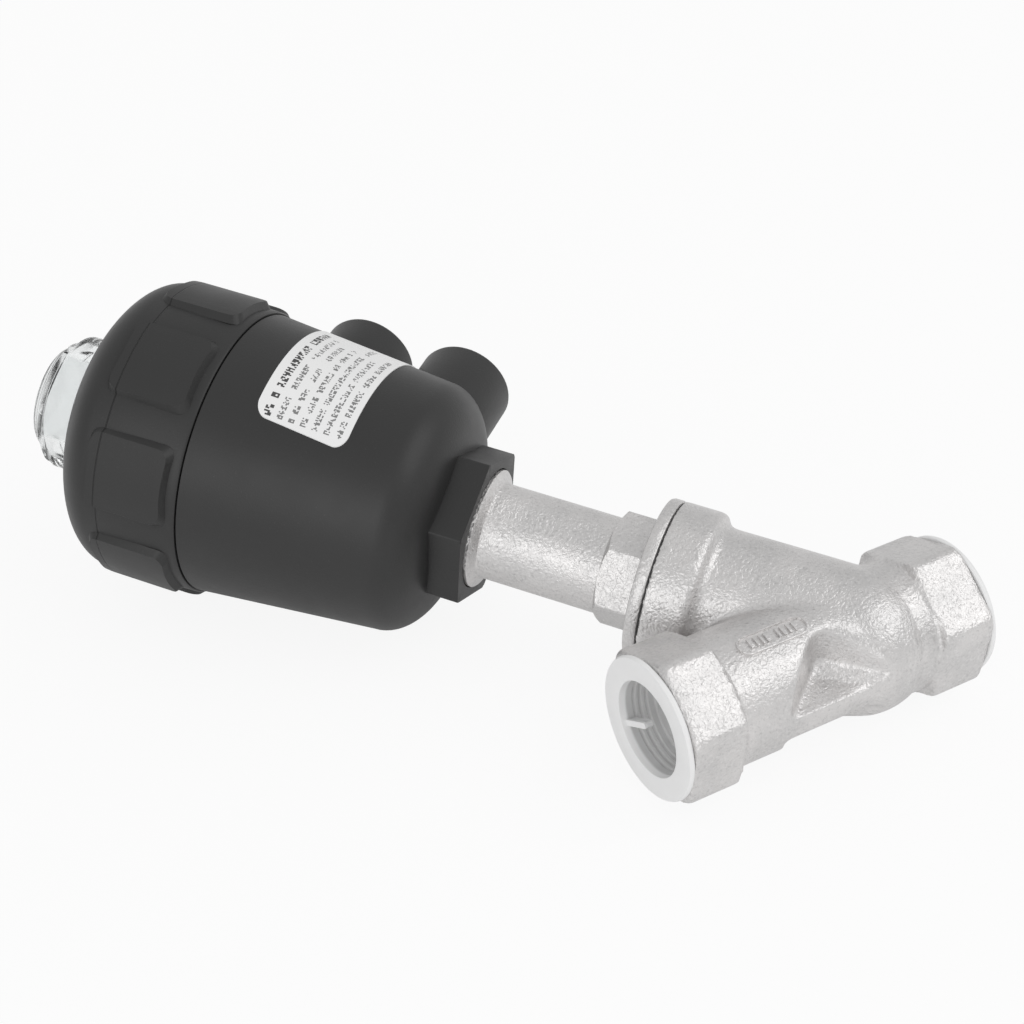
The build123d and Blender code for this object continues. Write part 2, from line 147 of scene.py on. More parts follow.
class Finish:
    """One material while it is written."""

    def __init__(self, name):
        self.material = bpy.data.materials.new(name)
        self.material.use_nodes = True
        self.tree = self.material.node_tree
        self.tree.nodes.clear()
        self.place = self.node("TexCoord")["Object"]

    @classmethod
    def on(cls, tree):
        """A finish that writes into another tree, such as the world's."""
        finish = cls.__new__(cls)
        finish.tree = tree
        tree.nodes.clear()
        return finish

    def node(self, kind, settings=None, inputs=None):
        added = self.tree.nodes.new("ShaderNode" + kind)
        for name, value in (settings or {}).items():
            setattr(added, name, value)
        for name, value in (inputs or {}).items():
            if isinstance(value, Signal):
                self.tree.links.new(value.socket, added.inputs[name])
            else:
                added.inputs[name].default_value = value
        return Outputs(self, added)

    def seen_from(self, axes):
        """The surface point in the given axes, in metres."""
        inputs = {"Vector": self.place, "Location": axes.to_translation(), "Rotation": axes.to_euler()}
        return self.node("Mapping", {"vector_type": "TEXTURE"}, inputs)["Vector"]

    def parts(self, vector):
        split = self.node("SeparateXYZ", {}, {0: vector})
        return split["X"], split["Y"], split["Z"]

    def noise(self, size, detail=3.0, roughness=0.5, place=None):
        """Cloudy noise whose lumps are about size metres across."""
        inputs = {
            "Vector": place or self.place,
            "Scale": 1.0 / size,
            "Detail": detail,
            "Roughness": roughness,
        }
        return self.node("TexNoise", {}, inputs)["Fac"]

    def chance(self, x, y, z=0.0):
        """A random value between 0 and 1 for each whole-numbered place."""
        key = self.node("CombineXYZ", {}, {"X": x, "Y": y, "Z": z})["Vector"]
        return self.node("TexWhiteNoise", {"noise_dimensions": "3D"}, {"Vector": key})["Value"]

    def blend(self, factor, first, second):
        """Colour that goes from first to second with the factor."""
        settings = {"data_type": "RGBA"}
        return self.node("Mix", settings, {0: factor, 6: first, 7: second})[2]

    def relief(self, height, depth, under=None):
        """Bumps of the given depth in metres where height is 1."""
        inputs = {"Height": height, "Distance": depth, "Strength": 1.0}
        if under is not None:
            inputs["Normal"] = under
        return self.node("Bump", {}, inputs)["Normal"]

    def done(self, **sockets):
        """Ends the material in the principled shader with these sockets."""
        inputs = {name.replace("_", " "): value for name, value in sockets.items()}
        shader = self.node("BsdfPrincipled", {}, inputs)["BSDF"]
        self.node("OutputMaterial", {}, {"Surface": shader})
        return self.material


PARTING_LINE = 172.8 * MM  # up the stem, round the cover and its grip pads


def grey(level, warm=0.0):
    """A neutral colour, or a slightly warm one."""
    return (level * (1 + warm), level, level * (1 - warm * 0.4), 1.0)


# ---------------------------------------------------------------- finishes
def cast_stainless():
    """Blasted investment casting: crinkled fine grain, shallow waves and cloudy tone."""
    finish = Finish("cast_stainless")
    grain = finish.noise(0.0008, detail=3.0, roughness=0.6)
    crinkle = abs(finish.noise(0.0013, detail=2.0) - 0.5) * 2.0
    waves = finish.noise(0.007, detail=2.0)
    clouds = finish.noise(0.012, detail=3.0)
    tone = finish.blend(clouds.ramp(0.35, 0.65), grey(0.70, 0.015), grey(0.77, 0.02))
    tone = finish.blend(grain.ramp(0.52, 0.7) * 0.5, tone, grey(0.86, 0.015))
    tone = finish.blend(grain.ramp(0.46, 0.3) * 0.35, tone, grey(0.45, 0.01))
    skin = finish.relief(waves, 0.00022)
    skin = finish.relief(crinkle, 0.00019, skin)
    skin = finish.relief(grain, 0.00015, skin)
    rough = 0.30 + 0.16 * finish.noise(0.0025)
    return finish.done(Base_Color=tone, Metallic=1.0, Roughness=rough, Normal=skin)


def turned_stainless():
    """Fine turning marks round the stem, satin."""
    finish = Finish("turned_stainless")
    x, y, z = finish.parts(finish.seen_from(STEM))
    along = finish.node("CombineXYZ", {}, {"X": x * 0.02, "Y": y * 0.02, "Z": z})["Vector"]
    marks = finish.noise(0.0003, detail=4.0, place=along)
    pits = finish.noise(0.0005, detail=3.0, roughness=0.6)
    clouds = finish.noise(0.011)
    tone = finish.blend(clouds, grey(0.68, 0.01), grey(0.76, 0.01))
    tone = finish.blend(pits.ramp(0.6, 0.75) * 0.25, tone, grey(0.88))
    skin = finish.relief(marks, 0.00003)
    skin = finish.relief(pits, 0.00004, skin)
    return finish.done(Base_Color=tone, Metallic=1.0, Roughness=0.3 + 0.12 * marks, Normal=skin)


def actuator_plastic():
    """Matt black moulded polyamide with a fine eroded grain, and a shallow groove at the cover's parting seam with
    painted shade in it.
    """
    finish = Finish("actuator_plastic")
    x, y, height = finish.parts(finish.seen_from(STEM))
    grain = finish.noise(0.0005, detail=3.0, roughness=0.6)
    flow = finish.noise(0.02, detail=3.0)
    # Mask of the parting seam round the cover: it sets the shallow bumped groove and the painted shade in that
    # groove
    parting_groove_and_shade = 1.0 - abs(height - PARTING_LINE).ramp(0.06 * MM, 0.22 * MM)
    tone = finish.blend(flow, grey(0.021), grey(0.029))
    tone = finish.blend(grain.ramp(0.62, 0.8) * 0.4, tone, grey(0.07))
    # Painted shade: the seam darkened almost to black, as shade falling in its groove
    tone = finish.blend(parting_groove_and_shade * 0.8, tone, grey(0.006))
    skin = finish.relief(grain, 0.00004)
    skin = finish.relief(1.0 - parting_groove_and_shade, 0.0002, skin)
    rough = 0.36 + 0.12 * finish.noise(0.008)
    return finish.done(Base_Color=tone, Roughness=rough, Normal=skin, Specular_IOR_Level=0.5)


def clear_plastic():
    """Clear moulded polycarbonate."""
    finish = Finish("clear_plastic")
    flow = finish.noise(0.006, detail=1.0)
    return finish.done(
        Base_Color=finish.blend(flow, (0.86, 0.88, 0.88, 1), (0.90, 0.91, 0.91, 1)),
        Roughness=0.06 + 0.08 * finish.noise(0.002),
        Normal=finish.relief(flow, 0.00004),
        Transmission_Weight=1.0,
        IOR=1.36,
    )


def white_plastic():
    """Polyethylene, milky in the protectors' flanges and see-through in their thin cups."""
    finish = Finish("white_plastic")
    low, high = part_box("valve_body")
    x, y, z = finish.parts(finish.place)
    depth = (high.x - low.x) / 2 - abs(x - (high.x + low.x) / 2)
    thin = depth.ramp(0.1 * MM, 0.9 * MM)
    flow = finish.noise(0.005, detail=2.0)
    return finish.done(
        Base_Color=finish.blend(flow, grey(0.93), grey(0.97)),
        Roughness=0.30 + 0.1 * flow,
        Normal=finish.relief(flow, 0.0002),
        Alpha=1.0 - 0.42 * thin,
    )


def seal_rubber():
    finish = Finish("seal_rubber")
    bloom = finish.noise(0.002, detail=3.0)
    return finish.done(
        Base_Color=finish.blend(bloom, grey(0.02), grey(0.04)),
        Roughness=0.55 + 0.2 * bloom,
        Normal=finish.relief(bloom, 0.00003),
    )


def white_bearing():
    finish = Finish("ptfe")
    clouds = finish.noise(0.003, detail=2.0)
    return finish.done(
        Base_Color=finish.blend(clouds, grey(0.80), grey(0.88)),
        Roughness=0.35 + 0.15 * clouds,
        Normal=finish.relief(clouds, 0.00003),
    )


def spring_steel():
    finish = Finish("spring_steel")
    scale = finish.noise(0.0012, detail=3.0)
    return finish.done(
        Base_Color=finish.blend(scale, grey(0.34), grey(0.50)),
        Metallic=1.0,
        Roughness=0.28 + 0.2 * scale,
        Normal=finish.relief(scale, 0.00003),
    )


def gasket_graphite():
    finish = Finish("gasket_graphite")
    fibres = finish.noise(0.0008, detail=4.0)
    return finish.done(
        Base_Color=finish.blend(fibres, grey(0.03), grey(0.08)),
        Roughness=0.6 + 0.2 * fibres,
        Normal=finish.relief(fibres, 0.00006),
    )


def piston_plastic():
    finish = Finish("piston_plastic")
    grain = finish.noise(0.001, detail=3.0)
    return finish.done(
        Base_Color=finish.blend(grain, grey(0.08), grey(0.13)),
        Roughness=0.4 + 0.15 * grain,
        Normal=finish.relief(grain, 0.00004),
    )


def indicator_plastic():
    finish = Finish("indicator_plastic")
    clouds = finish.noise(0.002, detail=2.0)
    return finish.done(
        Base_Color=finish.blend(clouds, grey(0.42), grey(0.52)),
        Roughness=0.3 + 0.1 * clouds,
        Normal=finish.relief(clouds, 0.00003),
    )


def label_film():
    """White film printed with rows of random dot cells in place of words, the first row bold."""
    low, high = 118.4 * MM, 141.0 * MM
    start, wall_r = math.radians(-118.5), 31.9 * MM
    rows, pitch, margin = 7, 2.85 * MM, 1.5 * MM
    sign_pitch, bold_extra = 1.15 * MM, 0.35 * MM
    shortest_row, row_spread = 26.0 * MM, 9.0 * MM
    finish = Finish("label_film")
    x, y, z = finish.parts(finish.seen_from(STEM))
    angle = finish.node("Math", {"operation": "ARCTAN2"}, {0: y, 1: x})["Value"]
    along = (angle - start) * wall_r
    down = (high - margin - z) / pitch
    row = down.floor()
    bold = row < 0.5
    column = along / (sign_pitch + bold_extra * bold)
    sign, across = column.floor(), column.fraction()
    height = (0.86 - down.fraction()) / (0.5 + 0.16 * bold)

    def band(value, first, last):
        return (value > first) * (value < last)

    cell = finish.chance((across * 3.7).floor() + sign * 4.0, (height * 4.0).floor() + row * 5.0)
    letter = (cell > 0.42 - 0.12 * bold) * band(across, 0.0, 0.81)
    row_end = shortest_row + row_spread * finish.chance(0.5, row, 9.0)
    within = band(height, 0.0, 1.0) * band(along, 0.0, row_end) * band(down, 0.0, rows)
    printed = within * (finish.chance(sign, row, 5.0) > 0.16)
    paper = finish.blend(finish.noise(0.01), grey(0.94), grey(0.98))
    ink = letter * printed * (0.78 + 0.2 * bold)
    return finish.done(
        Base_Color=finish.blend(ink, paper, grey(0.05)),
        Roughness=0.42 + 0.1 * finish.noise(0.004),
        Normal=finish.relief(finish.noise(0.003), 0.00003),
    )


FINISHES = {
    "cast_stainless": cast_stainless(),
    "turned_stainless": turned_stainless(),
    "actuator_plastic": actuator_plastic(),
    "clear_plastic": clear_plastic(),
    "white_plastic": white_plastic(),
    "seal_rubber": seal_rubber(),
    "ptfe": white_bearing(),
    "spring_steel": spring_steel(),
    "gasket_graphite": gasket_graphite(),
    "label_film": label_film(),
    "piston_plastic": piston_plastic(),
    "indicator_plastic": indicator_plastic(),
}

for subpart in record["subparts"]:
    node = frame["nodes"][subpart["node"]]
    node.data.materials.clear()
    node.data.materials.append(FINISHES[subpart["material_slot"]])


# ---------------------------------------------------------------- new pieces
def piece_from(mesh_maker, name, slot_name, body, place=None):
    """Turns a finished bmesh into a piece that rides on a body."""
    if place is not None:
        bmesh.ops.transform(mesh_maker, matrix=place, verts=mesh_maker.verts)
    bmesh.ops.recalc_face_normals(mesh_maker, faces=mesh_maker.faces)
    mesh = bpy.data.meshes.new(name)
    mesh_maker.to_mesh(mesh)
    mesh_maker.free()
    mesh.shade_smooth()
    mesh.set_sharp_from_angle(angle=math.radians(32))
    mesh.materials.append(FINISHES[slot_name])
    piece = bpy.data.objects.new(name, mesh)
    bpy.context.scene.collection.objects.link(piece)
    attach(piece, body)
    return piece


def thread_ridge(name, body, slot_name, bore_r, pitch, length, place):
    """Helical pipe-thread ridge inside a bore. Z of its place runs into the bore from the start."""
    depth = pitch * 0.64
    turns = length / pitch - 1
    cutter = bmesh.new()
    corners = [
        cutter.verts.new((bore_r + 0.05 * MM, 0, 0.04 * pitch)),
        cutter.verts.new((bore_r - depth, 0, 0.44 * pitch)),
        cutter.verts.new((bore_r - depth, 0, 0.56 * pitch)),
        cutter.verts.new((bore_r + 0.05 * MM, 0, 0.96 * pitch)),
    ]
    face = cutter.faces.new(corners)
    steps = int(40 * turns)
    bmesh.ops.spin(
        cutter,
        geom=[face, *face.edges, *face.verts],
        cent=(0, 0, 0),
        axis=(0, 0, 1),
        dvec=(0, 0, turns * pitch / steps),
        angle=turns * 2 * math.pi,
        steps=steps,
        use_merge=False,
        use_duplicate=False,
    )
    return piece_from(cutter, name, slot_name, body, place)


def port_axes(port, length):
    """Axes at the start of a port's thread, Z running inwards."""
    mount = ports[port]
    outwards = Vector(mount["axis"]).normalized()
    start = Vector(mount["pos_m"]) + outwards * (length - mount["dims"]["length_mm"] * MM / 2)
    across = STEM_SIDE.cross(outwards).normalized()
    return axes_at(start, across, (-outwards).cross(across), -outwards)


PORT_THREAD = {"length": 8.3 * MM, "pitch": 1.814 * MM}
AIR_THREAD = {"length": 11.0 * MM, "pitch": 1.337 * MM}
for port, body, slot_name, thread in (
    ("inlet_port", "body", "turned_stainless", PORT_THREAD),
    ("outlet_port", "body", "turned_stainless", PORT_THREAD),
    ("air_port_open", "actuator", "actuator_plastic", AIR_THREAD),
    ("air_port_vent", "actuator", "actuator_plastic", AIR_THREAD),
):
    bore_r = ports[port]["dims"]["r_mm"] * MM
    place = port_axes(port, thread["length"])
    thread_ridge(port + "_thread", body, slot_name, bore_r, thread["pitch"], thread["length"], place)


# ---------------------------------------------------------------- solid shapes
def lathe(points, place, steps=96):
    """Turned solid from (radius, height) corners in millimetres, a ring when no corner is on the axis."""
    maker = bmesh.new()
    verts = [maker.verts.new((radius * MM, 0, height * MM)) for radius, height in points]
    edges = [maker.edges.new(pair) for pair in zip(verts, verts[1:])]
    if points[0][0] > 0:
        edges.append(maker.edges.new((verts[-1], verts[0])))
    bmesh.ops.spin(
        maker,
        geom=[*verts, *edges],
        cent=(0, 0, 0),
        axis=(0, 0, 1),
        angle=2 * math.pi,
        steps=steps,
        use_merge=True,
    )
    bmesh.ops.remove_doubles(maker, verts=maker.verts, dist=0.0001 * MM)
    bmesh.ops.transform(maker, matrix=place, verts=maker.verts)
    bmesh.ops.recalc_face_normals(maker, faces=maker.faces)
    return maker


def disc(radius, low, high, place, steps=96):
    return lathe([(0, low), (radius, low), (radius, high), (0, high)], place, steps)


def arc(centre, reach, start, end, count=16):
    """Corners along an elliptical arc in the profile plane, angles in degrees."""
    corners = []
    for number in range(count + 1):
        turn = math.radians(start + (end - start) * number / count)
        corners.append((centre[0] + reach[0] * math.cos(turn), centre[1] + reach[1] * math.sin(turn)))
    return corners


def hexagon(across_flats, low, high, edge_round, place, turn=0):
    """Hexagonal bar with rounded edges, corners on its Y axis when turn is 0. Sizes in millimetres."""
    maker = bmesh.new()
    corner_r = across_flats / 2 / math.cos(math.pi / 6) * MM
    bar = Matrix.Translation((0, 0, (low + high) / 2 * MM)) @ Matrix.Rotation(math.radians(turn), 4, "Z")
    bmesh.ops.create_cone(
        maker, cap_ends=True, segments=6, radius1=corner_r, radius2=corner_r, depth=(high - low) * MM, matrix=bar
    )
    upright = [edge for edge in maker.edges if abs(edge.verts[0].co.z - edge.verts[1].co.z) > 0.1 * MM]
    offset = edge_round * math.tan(math.radians(30)) * MM
    bmesh.ops.bevel(maker, geom=upright, offset=offset, segments=5, profile=0.5, affect="EDGES", material=-1)
    bmesh.ops.transform(maker, matrix=place, verts=maker.verts)
    return maker


def spanner_hexagon(across_flats, low, high, low_r, high_r, edge_round, place, turn=0):
    """Hexagonal bar whose ends are turned down to low_r and high_r by 30 degree chamfers."""
    bar = hexagon(across_flats, low, high, edge_round, place, turn)
    reach = across_flats / 2 / math.cos(math.pi / 6) + 1
    slope = math.tan(math.radians(30))
    corners = [(0, low), (low_r, low), (reach, low + (reach - low_r) * slope)]
    corners += [(reach, high - (reach - high_r) * slope), (high_r, high), (0, high)]
    return combined(bar, ("INTERSECT", lathe(corners, place)))


def stand_in(maker):
    """A scene object that holds a shape only while a modifier works on it."""
    mesh = bpy.data.meshes.new("stand_in")
    maker.to_mesh(mesh)
    maker.free()
    holder = bpy.data.objects.new("stand_in", mesh)
    bpy.context.scene.collection.objects.link(holder)
    return holder


def worked(holder):
    """The shape of a scene object after its modifiers. The object is removed."""
    shown = holder.evaluated_get(bpy.context.evaluated_depsgraph_get())
    maker = bmesh.new()
    maker.from_mesh(shown.to_mesh())
    shown.to_mesh_clear()
    bpy.data.objects.remove(holder)
    return maker


def combined(base, *steps):
    """Solid made from a base by UNION, DIFFERENCE and INTERSECT steps."""
    for operation, maker in steps:
        holder, other = stand_in(base), stand_in(maker)
        step = holder.modifiers.new(operation, "BOOLEAN")
        step.operation, step.object, step.solver = operation, other, "EXACT"
        base = worked(holder)
        bpy.data.objects.remove(other)
        bmesh.ops.remove_doubles(base, verts=base.verts, dist=0.0001 * MM)
    return base


def fine_mesh(maker, face_size):
    """The same closed shape, built again from small even faces."""
    holder = stand_in(maker)
    remesh = holder.modifiers.new("even_faces", "REMESH")
    remesh.mode, remesh.voxel_size = "VOXEL", face_size * MM
    return worked(holder)


def soften(maker, verts, times):
    for _ in range(times):
        bmesh.ops.smooth_vert(maker, verts=verts, factor=0.5, use_axis_x=True, use_axis_y=True, use_axis_z=True)


def kept_side(maker, point, normal):
    """Cuts off what lies behind a plane and closes the cut."""
    everything = [*maker.verts, *maker.edges, *maker.faces]
    cut = bmesh.ops.bisect_plane(maker, geom=everything, plane_co=point, plane_no=normal, clear_inner=True)
    edges = [item for item in cut["geom_cut"] if isinstance(item, bmesh.types.BMEdge)]
    bmesh.ops.holes_fill(maker, edges=edges, sides=0)
    bmesh.ops.recalc_face_normals(maker, faces=maker.faces)
    return maker


# ---------------------------------------------------------------- cast body
TUBE_R, NECK_R, COLLAR_R = 15.2, 16.7, 19.3
MOUTH_R, PORT_R, PASSAGE_R, BONNET_BORE_R = 13.6, 13.22, 9.6, 14.6
INLET, OUTLET = -55.0, 25.0  # port faces along the pipe
PORT_HEXAGON, HEXAGON_LENGTH, HEXAGON_END_R, HEXAGON_ROUND = 32.0, 13.6, 16.9, 2.5
MOUTH_DEPTH, THREAD_DEPTH = 6.7, 15.0
SEAT_UNDERSIDE, SEAT, SILL = -1.5, 2.5, 10.0  # up the stem
POCKET_TOP = 9.5  # up the stem
LEFT_ANGLE = 38  # of the pocket's side that is square to the stem, degrees
LEFT_SLOPE = math.tan(math.radians(LEFT_ANGLE))


def pocket_section(maker, depth, left_drop, right_point, right_slope, corner_round):
    """Adds a triangular face with a rounded top corner, its foot below the tube, at a depth across the pipe."""
    bottom = -18.0
    left_at_zero = -5.4 - left_drop + 20.6 * LEFT_SLOPE
    right_at_zero = right_point[1] - right_slope * right_point[0]
    apex = (right_at_zero - left_at_zero) / (LEFT_SLOPE - right_slope)
    along = (apex, (bottom - left_at_zero) / LEFT_SLOPE, (bottom - right_at_zero) / right_slope)
    heights = (left_at_zero + LEFT_SLOPE * apex, bottom, bottom)
    verts = [maker.verts.new(Vector((-up, -depth, x)) * MM) for x, up in zip(along, heights)]
    maker.faces.new(verts)
    half_corner = math.radians(180 - LEFT_ANGLE + math.degrees(math.atan(right_slope))) / 2
    offset = corner_round * MM / math.tan(half_corner)
    bmesh.ops.bevel(maker, geom=[verts[0]], offset=offset, segments=6, profile=0.5, affect="VERTICES", material=-1)


def side_pocket(side):
    """Triangular recess under the inlet passage: flat web, sloped ledge, then a drafted wall."""
    floor = (3.2, 2.5, (-16.5, -6.7), -0.81, 1.6)
    ledge = (5.2, 1.9, (-13.9, -4.9), -0.95, 3.0)
    mouth = (17.0, 0.0, (-9.4, -7.4), -1.0, 7.0)
    maker = bmesh.new()
    rims = []
    for section in (floor, ledge, mouth):
        pocket_section(maker, *section)
        depth = -section[0] * MM
        rims.append([edge for edge in maker.edges if all(abs(vert.co.y - depth) < 1e-6 for vert in edge.verts)])
    ledge_faces = [face for face in maker.faces if abs(face.calc_center_median().y + ledge[0] * MM) < 1e-6]
    bmesh.ops.delete(maker, geom=ledge_faces, context="FACES_ONLY")
    bmesh.ops.bridge_loops(maker, edges=rims[0] + rims[1])
    bmesh.ops.bridge_loops(maker, edges=rims[1] + rims[2])
    bmesh.ops.transform(maker, matrix=PIPE @ Matrix.Diagonal((1, side, 1, 1)), verts=maker.verts)
    bmesh.ops.recalc_face_normals(maker, faces=maker.faces)
    return maker


def port_bores(face_at, inwards):
    """Plain mouth and thread bore of a port whose face is at a place along the pipe."""
    cuts = []
    for radius, start, end in ((MOUTH_R, -1, MOUTH_DEPTH), (PORT_R, MOUTH_DEPTH - 0.7, THREAD_DEPTH)):
        low, high = sorted((face_at + inwards * start, face_at + inwards * end))
        cuts.append(("DIFFERENCE", disc(radius, low, high, PIPE)))
    return cuts


def casting_shape():
    """Two tubes, a ball under the seat, the inclined neck and a hexagon round each port, all bored."""
    ball = bmesh.new()
    bmesh.ops.create_uvsphere(ball, u_segments=64, v_segments=32, radius=NECK_R * MM, matrix=PIPE)
    far_tube = [(0, 0), (TUBE_R, 0), (TUBE_R + 0.5, OUTLET - 8), (0, OUTLET - 8)]
    neck = [(0, 0), (NECK_R, 0), (16.5, 33.0), (16.7, 34.2), (17.4, 35.0), (18.3, 35.5), (19.0, 36.0)]
    neck += [(COLLAR_R, 37.0), (COLLAR_R, 45.8), (0, 45.8)]
    hexagons = [
        spanner_hexagon(PORT_HEXAGON, low, low + HEXAGON_LENGTH, HEXAGON_END_R, HEXAGON_END_R, HEXAGON_ROUND, PIPE)
        for low in (INLET, OUTLET - HEXAGON_LENGTH)
    ]
    sill, underside = (STEM @ Vector((0, 0, height * MM)) for height in (SILL, SEAT_UNDERSIDE))
    inlet = kept_side(disc(PASSAGE_R, INLET - 1, -6, PIPE), sill, UP_STEM)
    outlet = kept_side(disc(PASSAGE_R, -8.5, OUTLET + 1, PIPE), underside, -UP_STEM)
    stem_bore = [(0, -3.5), (8.6, -3.5), (8.6, SEAT), (13.2, SEAT), (13.2, 30), (BONNET_BORE_R, 30)]
    stem_bore += [(BONNET_BORE_R, 47), (0, 47)]
    return combined(
        disc(TUBE_R, INLET + 8, 0, PIPE),
        ("UNION", lathe(far_tube, PIPE)),
        ("UNION", ball),
        ("UNION", lathe(neck, STEM)),
        ("DIFFERENCE", side_pocket(1)),
        ("DIFFERENCE", side_pocket(-1)),
        *(("UNION", shape) for shape in hexagons),
        ("DIFFERENCE", inlet),
        ("DIFFERENCE", outlet),
        *port_bores(INLET, 1),
        *port_bores(OUTLET, -1),
        ("DIFFERENCE", lathe(stem_bore, STEM)),
    )


def cast_body():
    """One-piece casting as it leaves the mould: blended creases, soft pocket edges, bores left true."""
    casting = fine_mesh(casting_shape(), 0.6)
    from_pipe, from_stem = PIPE.inverted(), STEM.inverted()
    skin, pocket, creases = [], [], []
    for vert in casting.verts:
        on_pipe, on_stem = from_pipe @ vert.co / MM, from_stem @ vert.co / MM
        pipe_r, stem_r = on_pipe.xy.length, on_stem.xy.length
        if stem_r < BONNET_BORE_R + 0.3:
            continue
        outside = pipe_r > MOUTH_R + 0.3
        below = on_pipe.z < 0 and on_stem.z < POCKET_TOP
        if below and pipe_r < TUBE_R + 0.2 and on_pipe.z > -36 and on_pipe.x > 2:
            pocket.append(vert)
        if outside or below:
            skin.append(vert)
        if outside and max(pipe_r - TUBE_R, stem_r - NECK_R) < 3.0 and on_pipe.z < 10.5:
            creases.append(vert)
    soften(casting, skin, 1)
    soften(casting, pocket, 2)
    soften(casting, creases, 14)
    piece = piece_from(casting, "cast_body", "cast_stainless", "body")
    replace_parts(piece, "valve_body")


def bonnet():
    """Screwed-in bonnet: spigot inside the collar, clamping flange and spanner hexagon."""
    outside = [(0, 31), (13.8, 31), (14.55, 31.8), (14.55, 46.05), (18.9, 46.05), (19.18, 46.17), (COLLAR_R, 46.4)]
    outside += [(COLLAR_R, 48.3), (19.07, 48.87), (18.5, 49.1), (0, 49.1)]
    inside = [(0, 30), (10.5, 30), (10.5, 38), (5.6, 41), (5.6, 48), (9.2, 48), (9.2, 54), (11.5, 54)]
    inside += [(11.5, 60), (0, 60)]
    shape = combined(
        lathe(outside, STEM),
        ("UNION", spanner_hexagon(24.0, 48.0, 58.6, 14.0, 11.9, 0.8, STEM, turn=30)),
        ("DIFFERENCE", lathe(inside, STEM)),
    )
    piece = piece_from(shape, "bonnet_casting", "cast_stainless", "body")
    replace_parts(piece, "bonnet")


def distance_tube():
    """Tube from the bonnet to the actuator, with the flared rim the actuator turns on."""
    profile = [(9.2, 54), (11.5, 54), (11.5, 86.7), (11.75, 87.4), (12.4, 87.9), (13.9, 88.5), (14.3, 88.9)]
    profile += [(14.3, 92), (11.5, 92), (11.5, 106), (10.3, 106), (10.3, 107.6), (11.5, 107.6)]
    profile += [(11.5, 109), (9.2, 109)]
    piece = piece_from(lathe(profile, STEM), "distance_tube", "cast_stainless", "body")
    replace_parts(piece, "stem_tube")


# ---------------------------------------------------------------- actuator
AIR_HEIGHTS = (114.4, 140.7)
BOSS_REACH = 47.2
PAD_COUNT, PAD_MIDDLE, PAD_R = 8, 165.6, 37.0
CAP_SEAT, CAP_RECESS, CAP_THREAD_R, CAP_R = 189.4, 186.4, 13.2, 16.7
CAP_SHOULDER, CAP_TOP = 198.8, 203.2


def housing():
    """Moulded cylinder: tapered wall, rounded floor, hexagonal hub and two air bosses."""
    outside = [(0, 97), *arc((15, 108), (15.5, 11), -90, 0), (34.6, 152.65), (31.4, 152.65)]
    outside += [(31.4, 159.5), (0, 159.5)]
    inside = [(0, 110.4), (15.5, 110.4), (16.5, 104), (24.5, 104), (27.5, 107), (27.5, 157)]
    inside += [(28.2, 160.5), (0, 160.5)]
    hub_bore = [(0, 88), (14.6, 88), (14.6, 92.3), (11.55, 92.3), (11.55, 97), (13.4, 97), (13.4, 100.2)]
    hub_bore += [(11.55, 100.2), (11.55, 104.6), (13.6, 104.6), (13.6, 111), (0, 111)]
    steps = [("UNION", spanner_hexagon(33.6, 89.5, 100, 19.0, 20.4, 0.6, STEM))]
    seats = []
    for height in AIR_HEIGHTS:
        outwards = STEM @ Matrix.Translation((0, 0, height * MM)) @ Matrix.Rotation(math.pi / 2, 4, "Y")
        boss = [(0, 24), (12, 24), (12, BOSS_REACH - 0.8), (11.8, BOSS_REACH - 0.25)]
        boss += [(11.3, BOSS_REACH), (0, BOSS_REACH)]
        steps.append(("UNION", lathe(boss, outwards, 64)))
        bore = [(0, 20), (3, 20), (3, BOSS_REACH - 11), (6.58, BOSS_REACH - 11)]
        bore += [(6.58, BOSS_REACH + 1), (0, BOSS_REACH + 1)]
        seats.append(("DIFFERENCE", lathe(bore, outwards, 64)))
    groove = [(29.8, 155.1), (33, 155.1), (33, 157.3), (29.8, 157.3)]
    cuts = [("DIFFERENCE", lathe(shape, STEM)) for shape in (inside, hub_bore, groove)]
    shape = combined(lathe(outside, STEM), *steps, *cuts, *seats)
    piece = piece_from(shape, "cylinder_housing", "actuator_plastic", "actuator")
    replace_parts(piece, "actuator_housing")


def grip_pads():
    """Eight raised pads round the cover, with rounded corners and sloped sides."""
    draft = math.tan(math.radians(25))
    base_r, rise, length, width = 34.0, 4.0, 18.8, 17.4
    spread = (PAD_R - base_r) * draft
    maker = bmesh.new()
    for number in range(PAD_COUNT):
        pad = bmesh.new()
        bmesh.ops.create_cube(pad, size=1.0)
        upright = [edge for edge in pad.edges if abs(edge.verts[0].co.x - edge.verts[1].co.x) > 0.5]
        for vert in pad.verts:
            outer = vert.co.x > 0
            shrink = 2 * (spread - (rise * draft if outer else 0))
            vert.co.x = base_r + (rise if outer else 0)
            vert.co.y *= width + shrink
            vert.co.z = PAD_MIDDLE + vert.co.z * (length + shrink)
        bmesh.ops.scale(pad, vec=(MM, MM, MM), verts=pad.verts)
        bmesh.ops.bevel(pad, geom=upright, offset=2.6 * MM, segments=6, profile=0.5, affect="EDGES", material=-1)
        turn = Matrix.Rotation(2 * math.pi * (number + 0.5) / PAD_COUNT, 4, "Z")
        bmesh.ops.transform(pad, matrix=STEM @ turn, verts=pad.verts)
        mesh = bpy.data.meshes.new("pad")
        pad.to_mesh(mesh)
        pad.free()
        maker.from_mesh(mesh)
        bpy.data.meshes.remove(mesh)
    bmesh.ops.recalc_face_normals(maker, faces=maker.faces)
    return combined(maker, ("INTERSECT", disc(PAD_R, 150, 180, STEM, 128)))


